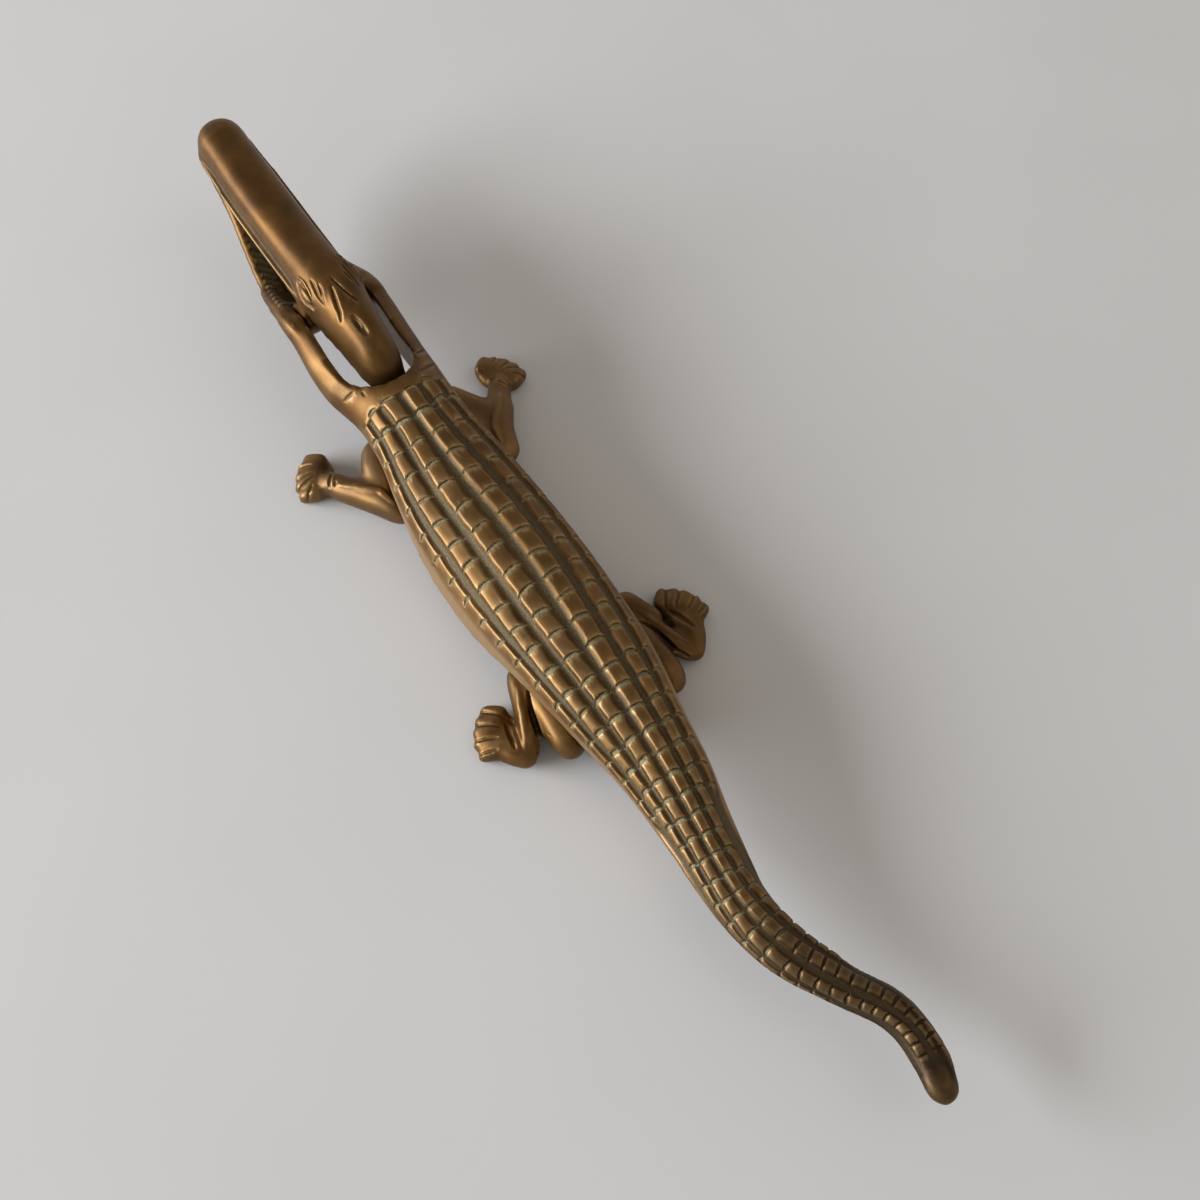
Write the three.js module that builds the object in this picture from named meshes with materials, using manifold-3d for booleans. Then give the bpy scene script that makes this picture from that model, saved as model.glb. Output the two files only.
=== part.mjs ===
// Crocodile nutcracker in cast brass, made of three pieces.
// The lever casting is the scaled back, the tail, the neck fork and the lower jaw.
// The base casting is the upper jaw, the head, the neck, the belly and the four legs.
// A pin, riveted flush in the fork, runs through the head, so lifting the tail drops the lower jaw.
// Millimetres. +X points to the snout, +Y to the animal's left, +Z up; the feet stand on z = 0.
import * as THREE from 'three';
import { ParametricGeometry } from 'three/addons/geometries/ParametricGeometry.js';
import { mergeVertices } from 'three/addons/utils/BufferGeometryUtils.js';
import Module from 'manifold-3d';

const wasm = await Module();
wasm.setup();

// Whole object
const overallLength = 333;
const legSpan = 70;

// Back shell and tail
const bodyWidth = 37.8;
const bodyLean = 0.7; // how far the middle of the body lies to the left
const backHeight = 27;
const rimHeight = 5.5; // lower edge of the shell between the legs
const rimArch = 12.5; // lower edge of the shell where it arches over a leg
const shellWall = 3.2;
const tailWidth = 13.2; // where the tail starts its S
const tailThickness = 8.5;
const tailHeight = 18.5; // top of the tail
const tailTipWidth = 8.4;
const tailSwing = 8; // how far the S leaves the middle, each way

// Scutes
const scaleStart = 54.6; // first cross cut, behind the smooth collar
const plainTip = 14; // tail behind the last cross cut
const scaleCount = 38;
const scaleRelief = 0.95;
const scaleRoll = 5; // degrees that the rows lean to the left of the crest
const slantEnd = -60; // behind this the cross cuts run straight across the tail
const slantFade = 50;
const cutShare = 0.13; // half the width of a cross cut, as a share of the scute

// Neck fork and hinge
const forkWidth = 31;
const forkGap = 20;
const forkRear = 59.5; // round rear end of the slot
const neckHeight = 29;
const pivotX = 96.5;
const pivotZ = 21;
const pinDiameter = 4.5;
const pinClearance = 0.3;
const bossDiameter = 10;
const bossClearance = 0.4; // between the boss and each fork arm

// Jaws and head
const snoutWidth = 18.4;
const snoutHeight = 37;
const browHeight = 39;
const lipHeight = 27; // underside of the upper jaw
const flangeHeight = 1.4; // bead along the upper lip
const flangeDepth = 0.8;
const palateDepth = 4;
const jawClearance = 0.4; // between the two tips when shut
const jawSetBack = 4; // lower tip behind the upper tip
const jawTipWidth = 12.5;
const jawTipThickness = 9;
const nutGap = 10; // lowest part of the lower rim under the upper lip
const jawFloor = 8; // underside of the lower jaw
const jawWall = 2.4;
const mouthRear = 101; // rear end of the lower jaw's trough, open to the slot
const toothCount = 9; // on each side
const toothRadius = 1.5;
const headRearWidth = 12;

// Belly and legs
const bellyHeight = 2.5; // underside over the table
const bellyTop = 13.5;
const bellyClearance = 2.4; // to the inside of the shell
const legClearance = 0.7; // from a leg to the shell's arched edge
const frontFootX = 60.5; // middle of the paw
const rearFootX = -32.4;
const rightForeStep = 0.9; // the right paws stand a little further forward and out than the left ones
const rightForeReach = 3.4;
const rightHindStep = 2.3;
const rightHindReach = 1.6;
const pawBreadth = 15;
const pawLength = 11;
const pawHeight = 8; // over the knuckles
const palmHeight = 5.6; // between the toes
const pawHeading = 56; // degrees the toes turn out
const toeCount = 5;
const toeRadius = 1.9;

const brassColour = 0x8a6331;
const pinColour = 0xa98446;

// Derived places
const snoutTip = overallLength / 2;
const tailTip = -overallLength / 2;
const scaleEnd = tailTip + plainTip;
const jawTip = snoutTip - jawSetBack;
const jawTipTop = lipHeight - jawClearance;
const jawRim = lipHeight - nutGap;
const halfBody = bodyWidth / 2;
const halfFork = forkWidth / 2;
const halfGap = forkGap / 2;
const weldDistance = 1e-4;

// A closed three.js geometry as a solid, with shared vertices merged
function solid(geometry) {
  const bare = new THREE.BufferGeometry();
  bare.setAttribute('position', geometry.getAttribute('position').clone());
  bare.setIndex(geometry.getIndex());
  const merged = mergeVertices(bare, weldDistance);
  const corner = merged.getIndex().array;
  const kept = [];
  for (let i = 0; i < corner.length; i += 3) {
    const [a, b, c] = [corner[i], corner[i + 1], corner[i + 2]];
    if (a !== b && b !== c && c !== a) kept.push(a, b, c);
  }
  const vertProperties = new Float32Array(merged.getAttribute('position').array);
  const triVerts = new Uint32Array(kept);
  return new wasm.Manifold(new wasm.Mesh({ numProp: 3, vertProperties, triVerts }));
}

// A closed skin over a grid of points: place(i, j, target) for column i of ring j
function skin(columns, rings, place) {
  const grid = (u, v, target) => place(Math.round(u * columns) % columns, Math.round(v * rings), target);
  return solid(new ParametricGeometry(grid, columns, rings));
}

// Smooth values through rows of [x, value, value, ...], x falling or rising
function profile(rows) {
  const sorted = [...rows].sort((a, b) => a[0] - b[0]);
  const size = sorted[0].length - 1;
  const values = sorted.flatMap((row) => row.slice(1));
  const curve = new THREE.CubicInterpolant(sorted.map((row) => row[0]), values, size);
  return (x) => Array.from(curve.evaluate(x));
}

// Place along the axis as a share of the half length
function along(share) {
  return (share * overallLength) / 2;
}

// Evenly spaced values, both ends included
function spread(from, to, count) {
  return Array.from({ length: count }, (_, i) => THREE.MathUtils.lerp(from, to, i / (count - 1)));
}

// 0 at a rounded end, rising to 1 over the length of the rounding
function rounding(distance, length) {
  const left = THREE.MathUtils.clamp(1 - distance / length, 0, 1);
  return Math.sqrt(1 - left * left);
}

// Signed power, for sections between a circle and a rectangle
function bent(value, power) {
  return Math.sign(value) * Math.abs(value) ** power;
}

// Place along the lower jaw as a share from the hinge to its tip
function jawAlong(share) {
  return THREE.MathUtils.lerp(pivotX, jawTip, share);
}

// Outer form of the lever: x, half width, top, bottom, height of the widest place, axis off the middle
const leverForm = profile([
  [tailTip, tailTipWidth / 2, tailHeight - 1, tailHeight - 6.5, tailHeight - 4, -tailSwing * 0.45],
  [along(-0.934), tailTipWidth / 2, tailHeight - 0.5, tailHeight - 6.5, tailHeight - 4, -tailSwing * 0.8],
  [along(-0.868), 4.4, tailHeight - 0.5, tailHeight - 7, tailHeight - 4.5, -tailSwing * 0.78],
  [along(-0.796), 5, tailHeight - 0.5, tailHeight - 7.5, tailHeight - 5, -tailSwing * 0.06],
  [along(-0.718), 5.9, tailHeight - 0.3, tailHeight - 8, tailHeight - 5.5, tailSwing * 0.64],
  [along(-0.634), tailWidth / 2, tailHeight, tailHeight - tailThickness, tailHeight - 6, tailSwing * 0.87],
  [along(-0.526), 8.2, tailHeight + 1.5, tailHeight - tailThickness - 1, tailHeight - 8, tailSwing * 0.6],
  [along(-0.417), 10.6, backHeight - 4.5, 8, 10, tailSwing * 0.28],
  [along(-0.321), 13.2, backHeight - 2, rimArch - 2.5, rimArch, tailSwing * 0.15],
  [along(-0.237), 15.6, backHeight - 0.7, rimArch, rimArch + 1, bodyLean],
  [along(-0.153), 17.2, backHeight, rimArch - 1.5, rimArch - 0.5, bodyLean],
  [along(-0.069), halfBody - 0.3, backHeight, rimHeight + 1.5, rimHeight + 2.5, bodyLean],
  [along(0.027), halfBody, backHeight, rimHeight, rimHeight + 1.2, bodyLean],
  [along(0.111), halfBody - 0.7, backHeight, rimHeight + 2, rimHeight + 3, bodyLean],
  [along(0.189), 16.5, backHeight, rimArch - 1.5, rimArch, bodyLean / 2],
  [along(0.267), 14.4, backHeight + 0.5, rimArch, rimArch + 2, 0],
  [forkRear, 14.4, neckHeight, rimArch - 1, rimArch + 4, 0],
  [along(0.444), halfFork, neckHeight - 0.5, rimArch - 2, pivotZ - 2, 0],
  [pivotX - 6, halfFork - 0.2, pivotZ + 7, pivotZ - 9, pivotZ, 0],
  [pivotX + 2, halfFork - 0.6, pivotZ + 5.6, pivotZ - 8.6, pivotZ - 0.5, 0],
  [jawAlong(0.16), halfFork - 2.2, jawRim + 2.2, jawFloor + 1.4, jawFloor + 7, 0],
  [jawAlong(0.33), halfFork - 3.8, jawRim, jawFloor + 0.6, jawFloor + 7, 0],
  [jawAlong(0.52), 10, jawRim + 2, jawFloor + 2.6, jawFloor + 8.5, 0],
  [jawAlong(0.735), 8, jawRim + 6, jawFloor + 6.4, jawTipTop - 6, 0],
  [jawAlong(0.9), jawTipWidth / 2 + 0.5, jawTipTop - 0.6, jawTipTop - jawTipThickness, jawTipTop - 4.5, 0],
  [jawTip, jawTipWidth / 2, jawTipTop, jawTipTop - jawTipThickness + 1, jawTipTop - 4.5, 0],
]);
const jawTipRound = 6;
const tailTipRound = 5;

// Section of the lever at x with both tips rounded off
function leverSection(x) {
  const [halfWidth, top, bottom, widest, axis] = leverForm(x);
  const closing = Math.min(rounding(jawTip - x, jawTipRound), rounding(x - tailTip, tailTipRound));
  return {
    halfWidth: halfWidth * closing,
    up: (top - widest) * closing,
    down: (widest - bottom) * closing,
    widest,
    axis,
  };
}

// Place of each cross cut by its number, set out from the tip of the tail, towards which the scutes shorten
const cutPlace = profile([
  [0, scaleStart],
  [1, scaleStart - 8.1],
  [8, tailTip + 160.2],
  [13, tailTip + 124.5],
  [18, tailTip + 94.1],
  [23, tailTip + 67.9],
  [28, tailTip + 45.3],
  [33, tailTip + 28.7],
  [scaleCount, scaleEnd],
]);

// Columns of the back on one side: angle from the crest, raised or not, forward shift of the cross cuts
const backColumns = [
  { angle: 5, raised: 1, shift: 0, row: 0 },
  { angle: 23.5, raised: 1, shift: 0, row: 0 },
  { angle: 28, raised: 0, shift: 0.06, row: 0 },
  { angle: 32, raised: 1, shift: 0.12, row: 1 },
  { angle: 47.5, raised: 1, shift: 0.12, row: 1 },
  { angle: 52.5, raised: 0, shift: 0.2, row: 1 },
  { angle: 62.5, raised: 1, shift: 0.28, row: 2 },
  { angle: 74, raised: 0, shift: 0.2, row: 2 },
  { angle: 96, raised: 0, shift: 0, row: 2 },
  { angle: 132, raised: 0, shift: 0, row: 2 },
];
const rowEnds = [tailTip, tailTip + 26.5, tailTip + 80.5]; // where each pair of rows runs out
const rowFade = 16;
const rollFrom = 94; // angle from the crest where the lean of the rows has faded out
const rollFade = 20;

// All columns once round, from the crest over the left flank and the underside to the right flank
const crest = { angle: 0, raised: 0, shift: 0, row: 0 };
const keel = { angle: 180, raised: 0, shift: 0, row: 0 };
const rightColumns = [...backColumns].reverse().map((column) => ({ ...column, angle: -column.angle }));
const leverColumns = [crest, ...backColumns, keel, ...rightColumns];

// Rings of the lever from the jaw tip to the tail tip: place, how far the cross cut is filled, scute length
function leverRings() {
  const rings = [];
  const smooth = (places) => places.forEach((x) => rings.push({ x, filled: 0, length: 0 }));
  smooth([0, 0.06, 0.25, 0.6].map((share) => jawTip - share * jawTipRound));
  smooth(spread(jawTip - jawTipRound, jawAlong(0.17), 7));
  smooth(spread(jawAlong(0.11), pivotX - 4, 4));
  smooth(spread(pivotX - 10, scaleStart + 3, 5));
  for (let scute = 0; scute < scaleCount; scute += 1) {
    const [x] = cutPlace(scute);
    const [end] = cutPlace(scute + 1);
    const length = x - end;
    const cut = length * cutShare;
    rings.push({ x, filled: 0, length });
    rings.push({ x: x - cut, filled: 1, length });
    rings.push({ x: end + cut, filled: 1, length });
  }
  smooth(spread(scaleEnd, tailTip + tailTipRound * 0.6, 3));
  smooth([0.25, 0.06, 0].map((share) => tailTip + share * tailTipRound));
  return rings;
}

// The lever's whole outer form, with its scutes
function leverBlank() {
  const rings = leverRings();
  return skin(leverColumns.length, rings.length - 1, (i, j, target) => {
    const column = leverColumns[i];
    const ring = rings[j];
    const slant = THREE.MathUtils.clamp((ring.x - slantEnd) / slantFade, 0, 1);
    const x = ring.x + column.shift * slant * ring.length;
    const section = leverSection(x);
    const leaning = THREE.MathUtils.clamp((rollFrom - Math.abs(column.angle)) / rollFade, 0, 1);
    const roll = ring.length > 0 ? scaleRoll * leaning : 0;
    const angle = THREE.MathUtils.degToRad(column.angle + roll);
    const rise = Math.cos(angle) >= 0 ? section.up : section.down;
    const side = section.halfWidth * Math.sin(angle);
    const normal = new THREE.Vector2(rise * Math.sin(angle), section.halfWidth * Math.cos(angle)).normalize();
    const thinning = THREE.MathUtils.clamp((x - rowEnds[column.row]) / rowFade, 0, 1);
    const relief = scaleRelief * column.raised * ring.filled * thinning * Math.min(1, section.halfWidth / 9);
    const slope = (leverSection(x + 0.5).axis - leverSection(x - 0.5).axis);
    const stretch = Math.hypot(1, slope);
    const across = side + relief * normal.x;
    const z = section.widest + rise * Math.cos(angle) + relief * normal.y;
    target.set(x - (across * slope) / stretch, section.axis + across / stretch, z);
  });
}

// Space under the shell, open below, from the slot to the root of the tail
const hollowFront = forkRear + 3;
const hollowRear = -67;
function shellHollow() {
  const columns = 16;
  const places = spread(hollowFront, hollowRear, 15);
  const drop = 20;
  return skin(columns, places.length + 1, (i, j, target) => {
    const x = places[THREE.MathUtils.clamp(j - 1, 0, places.length - 1)];
    const section = leverSection(x);
    const angle = (i / columns) * 2 * Math.PI;
    const ends = j === 0 || j === places.length + 1 ? 0 : 1;
    const width = Math.max(section.halfWidth - shellWall, 1) * ends;
    const height = Math.max(section.up - shellWall, 1) * ends;
    const upper = Math.cos(angle) >= 0;
    const y = width * bent(Math.sin(angle), upper ? 1 : 0.3);
    const z = section.widest + (upper ? height : drop * ends) * bent(Math.cos(angle), upper ? 1 : 0.3);
    target.set(x, section.axis + y, z);
  });
}

// Plate with an outline in plan, between two heights
function plate(outline, low, high) {
  const shape = new THREE.ExtrudeGeometry(outline, { depth: high - low, bevelEnabled: false, curveSegments: 10 });
  return solid(shape.translate(0, 0, low));
}

// Slot of the fork: round behind the head, square in front of the boss
const slotFront = pivotX + bossDiameter / 2 + 1.2;
function forkSlot() {
  const outline = new THREE.Shape();
  outline.moveTo(slotFront, halfGap);
  outline.lineTo(forkRear + halfGap, halfGap);
  outline.absarc(forkRear + halfGap, 0, halfGap, Math.PI / 2, 1.5 * Math.PI, false);
  outline.lineTo(slotFront, -halfGap);
  outline.closePath();
  return plate(outline, -1, neckHeight + 10);
}

// Boat-shaped trough of the lower jaw, open above
function jawTrough() {
  const columns = 12;
  const places = spread(jawTip - jawTipRound - jawWall, mouthRear, 9);
  const lift = 12;
  return skin(columns, places.length + 1, (i, j, target) => {
    const x = places[THREE.MathUtils.clamp(j - 1, 0, places.length - 1)];
    const section = leverSection(x);
    const angle = (i / columns) * 2 * Math.PI;
    const ends = j === 0 || j === places.length + 1 ? 0 : 1;
    const flare = halfGap - 0.2 + (x - mouthRear) * 0.35;
    const width = Math.min(section.halfWidth - jawWall, flare) * ends;
    const lower = Math.cos(angle) < 0;
    const sinking = Math.min(1, 0.3 + (x - mouthRear) / 16);
    const depth = (section.up + section.down - jawWall - 1) * sinking * ends;
    const y = width * bent(Math.sin(angle), lower ? 0.7 : 0.3);
    const top = section.widest + section.up;
    target.set(x, y, top + (lower ? depth : lift * ends) * bent(Math.cos(angle), lower ? 0.9 : 0.3));
  });
}

// One rounded stud of the nut grip, on the inner wall of the trough
function tooth(share, side) {
  const x = THREE.MathUtils.lerp(mouthRear + 4, jawTip - jawTipRound - 8, share);
  const section = leverSection(x);
  const ball = new THREE.SphereGeometry(toothRadius, 6, 4);
  ball.translate(x, side * (section.halfWidth - jawWall), section.widest + section.up - toothRadius - 0.6);
  return solid(ball);
}

// Round bar along Y through the hinge
function hingeBar(diameter, length, sides) {
  const bar = new THREE.CylinderGeometry(diameter / 2, diameter / 2, length, sides);
  return solid(bar.translate(pivotX, 0, pivotZ));
}

// Bore for the pin, through both fork arms and the boss
const pinSides = 20;
function pinBore() {
  return hingeBar(pinDiameter + 2 * pinClearance, forkWidth * 2, pinSides);
}

function leverCasting() {
  let lever = leverBlank().subtract(shellHollow()).subtract(forkSlot()).subtract(jawTrough());
  for (const side of [1, -1]) {
    for (const share of spread(0, 1, toothCount)) lever = lever.add(tooth(share, side));
  }
  return lever.subtract(pinBore());
}

// A limb through knots of [x, y, z, half width, half height], rounded at both ends
function limb(knots, columns = 10, rings = 8) {
  const path = new THREE.CatmullRomCurve3(knots.map(([x, y, z]) => new THREE.Vector3(x, y, z)));
  const girth = profile(knots.map(([, , , wide, high], i) => [i / (knots.length - 1), wide, high]));
  const up = new THREE.Vector3(0, 0, 1);
  return skin(columns, rings, (i, j, target) => {
    const along = 0.5 - 0.5 * Math.cos((j / rings) * Math.PI);
    const [wide, high] = girth(along);
    const closing = Math.sqrt(1 - Math.abs(2 * along - 1) ** 4);
    const angle = (i / columns) * 2 * Math.PI;
    const side = new THREE.Vector3().crossVectors(up, path.getTangent(along)).normalize();
    target.copy(path.getPoint(along));
    target.addScaledVector(side, Math.cos(angle) * wide * closing);
    target.z += Math.sin(angle) * high * closing;
  });
}

// Broad paw with its toes side by side, turned out from the axis
function paw(x, side, reach) {
  const turned = THREE.MathUtils.degToRad(pawHeading);
  const forward = new THREE.Vector2(Math.cos(turned), Math.sin(turned));
  const y = legSpan / 2 + reach - (pawLength / 2) * forward.y - toeRadius * 0.8;
  const at = (along, across, z) => [
    x + forward.x * along + forward.y * across,
    side * (y + forward.y * along - forward.x * across),
    z,
  ];
  const palm = new THREE.SphereGeometry(1, 10, 6);
  palm.scale(pawLength / 2, pawBreadth / 2, palmHeight * 0.62);
  palm.rotateZ(side * turned);
  palm.translate(x, side * y, palmHeight * 0.38);
  let body = solid(palm);
  for (const share of spread(-1, 1, toeCount)) {
    const across = (pawBreadth / 2 - toeRadius * 0.6) * share;
    const tip = (pawLength / 2) * (1 - 0.3 * share * share);
    body = body.add(limb([
      [...at(tip - 7, across * 0.8, pawHeight * 0.5), toeRadius, pawHeight * 0.36],
      [...at(tip + 0.8, across, pawHeight * 0.2), toeRadius, pawHeight * 0.36],
    ], 6, 4));
  }
  return body;
}

// Foreleg: shoulder under the shell, upper arm along its edge, elbow behind, forearm out to the paw
function foreleg(side, step, reach) {
  const top = rimArch - legClearance;
  const shoulder = limb([
    [frontFootX - 15, side * 5, top - 5, 7, 4.4],
    [frontFootX - 12.5, side * 14, top - 5, 6, 4.4],
  ], 8, 5);
  const arm = limb([
    [frontFootX - 1.5, side * 8.4, top - 5, 5.4, 4.4],
    [frontFootX - 10.5, side * 13.8, top - 5, 5.6, 4.6],
    [frontFootX - 22, side * 16.4, top - 5, 4.4, 4.6],
  ], 8, 6);
  const forearm = limb([
    [frontFootX - 28.5, side * 15.4, top - 6, 3.4, 4.6],
    [frontFootX - 18.8, side * 18.2, top - 6, 4.4, 5.2],
    [frontFootX + step * 0.6 - 9, side * (24.4 + reach * 0.6), pawHeight * 0.56, 3.9, 4.4],
    [frontFootX + step - 1, side * (28.5 + reach), pawHeight * 0.48, 4, 4],
  ], 8, 8);
  return shoulder.add(arm).add(forearm).add(paw(frontFootX + step, side, reach));
}

// Hind leg: thigh laid back along the shell, shank folded outside it, paw turned out
function hindleg(side, step, reach) {
  const top = rimArch - legClearance;
  const hip = limb([
    [rearFootX - 7.5, side * 5, top - 5.5, 7, 4.4],
    [rearFootX - 7.5, side * 14.5, top - 5.5, 6, 4.6],
  ], 8, 5);
  const thigh = limb([
    [rearFootX + 10.5, side * 16, top - 5, 3.4, 4.2],
    [rearFootX - 5.5, side * 15.2, top - 4.6, 4.8, 5],
    [rearFootX - 18.6, side * 15.8, top - 6, 5.4, 5.4],
  ], 8, 7);
  const shank = limb([
    [rearFootX + 11.6, side * 16.4, top - 5.4, 2.8, 4],
    [rearFootX, side * 20.4, top - 6, 2.6, 4.4],
    [rearFootX - 12.4, side * 25, pawHeight * 0.5, 2.9, 4.2],
  ], 8, 7);
  const sole = limb([
    [rearFootX - 13.4, side * 25.2, pawHeight * 0.42, 3, 3.6],
    [rearFootX + step * 0.5 - 5, side * (28 + reach * 0.5), pawHeight * 0.4, 5, 3.6],
    [rearFootX + step + 1.5, side * (29.6 + reach), pawHeight * 0.34, 5.4, 3],
  ], 8, 5);
  return hip.add(thigh).add(shank).add(sole).add(paw(rearFootX + step, side, reach));
}

// Neck tongue, chest and belly in one bar: x, half width, bottom, top
const bellyHalf = halfBody - bodyLean - shellWall - bellyClearance;
const spineFront = pivotX - 4;
const spineRear = -59;
const spineForm = profile([
  [spineFront, 4, pivotZ - 3, pivotZ + 8],
  [78, 4.6, pivotZ - 3, pivotZ + 9],
  [forkRear + 9, 4.8, pivotZ - 4.5, neckHeight - 1],
  [forkRear + 3, 5.4, pivotZ - 8, neckHeight - 4.5],
  [forkRear - 3, 6.6, 8, neckHeight - 8],
  [46, 8.8, bellyHeight + 1.5, bellyTop + 4],
  [30, 11, bellyHeight, bellyTop + 1.5],
  [3, bellyHalf, bellyHeight, bellyTop],
  [-31, bellyHalf - 2, bellyHeight, bellyTop],
  [-51, 7.6, bellyHeight + 1, bellyTop - 1],
  [spineRear, 5, bellyHeight + 2, bellyTop - 2],
]);
function spine() {
  const columns = 12;
  const places = [0, 0.4, 1.5, 4].map((d) => spineFront - d);
  places.push(...spread(78, 34, 9), ...spread(22, spineRear + 6, 6));
  places.push(spineRear + 3, spineRear + 0.8, spineRear);
  return skin(columns, places.length - 1, (i, j, target) => {
    const [halfWidth, bottom, top] = spineForm(places[j]);
    const closing = Math.min(rounding(spineFront - places[j], 4), rounding(places[j] - spineRear, 5));
    const angle = (i / columns) * 2 * Math.PI;
    const middle = (bottom + top) / 2;
    const y = halfWidth * closing * bent(Math.sin(angle), 0.85);
    target.set(places[j], y, middle + (top - middle) * closing * bent(Math.cos(angle), 0.85));
  });
}

// Upper jaw and head: x, half width at the lip, top, underside, how far the lip bead stands out
const halfSnout = snoutWidth / 2;
const headRear = forkRear + 1.5;
const headForm = profile([
  [snoutTip, halfSnout - 1.4, snoutHeight - 1, lipHeight, flangeDepth],
  [snoutTip - 8, halfSnout - 0.8, snoutHeight - 0.8, lipHeight, flangeDepth],
  [138.5, halfSnout, snoutHeight - 0.4, lipHeight + 0.2, flangeDepth],
  [116.5, halfSnout, snoutHeight, lipHeight + 0.2, flangeDepth],
  [104.5, halfSnout, browHeight - 0.8, lipHeight, flangeDepth],
  [94.5, halfSnout - 0.3, browHeight, lipHeight - 0.8, flangeDepth * 0.4],
  [85.5, halfSnout - 1.2, browHeight - 0.6, lipHeight - 2.4, 0],
  [75.5, headRearWidth / 2 + 0.7, browHeight - 2.2, lipHeight - 4, 0],
  [headRear + 5, headRearWidth / 2, browHeight - 5.5, lipHeight - 5.5, 0],
  [headRear, headRearWidth / 2 - 0.8, browHeight - 8, lipHeight - 6, 0],
]);
const snoutRound = 7;
const headRearRound = 7;

// Half of the head's section, crest to underside, as [share of the width, share of the height, bead]
const headColumns = [0, 18, 36, 54, 72, 90].map((angle) => ({ angle, bead: 0, low: false }));
headColumns.push({ angle: 90, bead: 1, low: false }, { angle: 90, bead: 1, low: true });
const headRound = [
  ...headColumns,
  { angle: 0, bead: 0, low: true },
  ...[...headColumns].reverse().slice(0, -1).map((column) => ({ ...column, mirrored: true })),
];

function headBlank() {
  const nose = [0, 0.05, 0.2, 0.5, 1].map((share) => snoutTip - share * snoutRound);
  const nape = [1, 0.5, 0.2, 0.05, 0].map((share) => headRear + share * headRearRound);
  const places = [...nose, ...spread(snoutTip - 14, 110, 5), ...spread(104, headRear + 11, 6), ...nape];
  return skin(headRound.length, places.length - 1, (i, j, target) => {
    const x = places[j];
    const [halfWidth, top, bottom, bead] = headForm(x);
    const column = headRound[i];
    const closing = Math.min(rounding(snoutTip - x, snoutRound), rounding(x - headRear, headRearRound));
    const angle = THREE.MathUtils.degToRad(column.angle);
    const width = (halfWidth - bead * (1 - column.bead)) * closing * bent(Math.sin(angle), 0.85);
    const shoulder = bottom + flangeHeight;
    const crown = shoulder + (top - shoulder) * closing * bent(Math.cos(angle), 0.85);
    target.set(x, column.mirrored ? -width : width, column.low ? bottom : crown);
  });
}

// Hollow under the upper jaw that takes the nut
function palate() {
  const front = snoutTip - 12;
  const rear = pivotX + bossDiameter / 2 + 5;
  const shape = new THREE.SphereGeometry(1, 14, 10);
  shape.scale((front - rear) / 2, halfSnout - flangeDepth - 1.6, palateDepth);
  return solid(shape.translate((front + rear) / 2, 0, lipHeight));
}

// Eye under its brow, on one side of the head
function eye(side) {
  const ball = new THREE.SphereGeometry(1, 10, 6);
  ball.scale(4.2, 1.5, 2);
  ball.rotateZ(side * -0.12);
  ball.translate(93.5, side * (halfSnout - 1.5), lipHeight + 5);
  const brow = limb([
    [101, side * (halfSnout - 2.2), lipHeight + 5, 1.1, 1.1],
    [94, side * (halfSnout - 2.7), lipHeight + 8, 1.4, 1.3],
    [85.5, side * (halfSnout - 2.8), lipHeight + 5.8, 1.1, 1.1],
  ], 8, 6);
  return solid(ball).add(brow);
}

function baseCasting() {
  let base = headBlank().subtract(palate()).add(spine());
  base = base.add(hingeBar(bossDiameter, forkGap - 2 * bossClearance, 24));
  base = base.add(eye(1)).add(foreleg(1, 0, 0)).add(hindleg(1, 0, 0));
  base = base.add(eye(-1));
  base = base.add(foreleg(-1, rightForeStep, rightForeReach));
  base = base.add(hindleg(-1, rightHindStep, rightHindReach));
  const table = new THREE.BoxGeometry(overallLength, legSpan * 2, 20);
  base = base.subtract(solid(table.translate(0, 0, -10)));
  return base.subtract(pinBore());
}

// Riveted pin, its ends filed flush with the cheeks of the fork
function pivotPin() {
  return hingeBar(pinDiameter, forkWidth * 2, pinSides).intersect(leverBlank());
}

// A solid as a named mesh
function piece(name, body, colour, roughness) {
  const { vertProperties, triVerts } = body.getMesh();
  const geometry = new THREE.BufferGeometry();
  geometry.setAttribute('position', new THREE.BufferAttribute(vertProperties, 3));
  geometry.setIndex(new THREE.BufferAttribute(triVerts, 1));
  geometry.computeVertexNormals();
  const material = new THREE.MeshStandardMaterial({ color: colour, roughness, metalness: 1 });
  const mesh = new THREE.Mesh(geometry, material);
  mesh.name = name;
  return mesh;
}

const nutcracker = new THREE.Group();
nutcracker.add(piece('base_casting', baseCasting(), brassColour, 0.42));
nutcracker.add(piece('lever_casting', leverCasting(), brassColour, 0.42));
nutcracker.add(piece('pivot_pin', pivotPin(), pinColour, 0.3));

export default nutcracker;
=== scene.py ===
# Looks of a crocodile nutcracker: two brass castings with carved scales and an old brown patina,
# on a pale table
import math

import bmesh
import bpy
import numpy as np
from mathutils import Matrix, Vector


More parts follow.
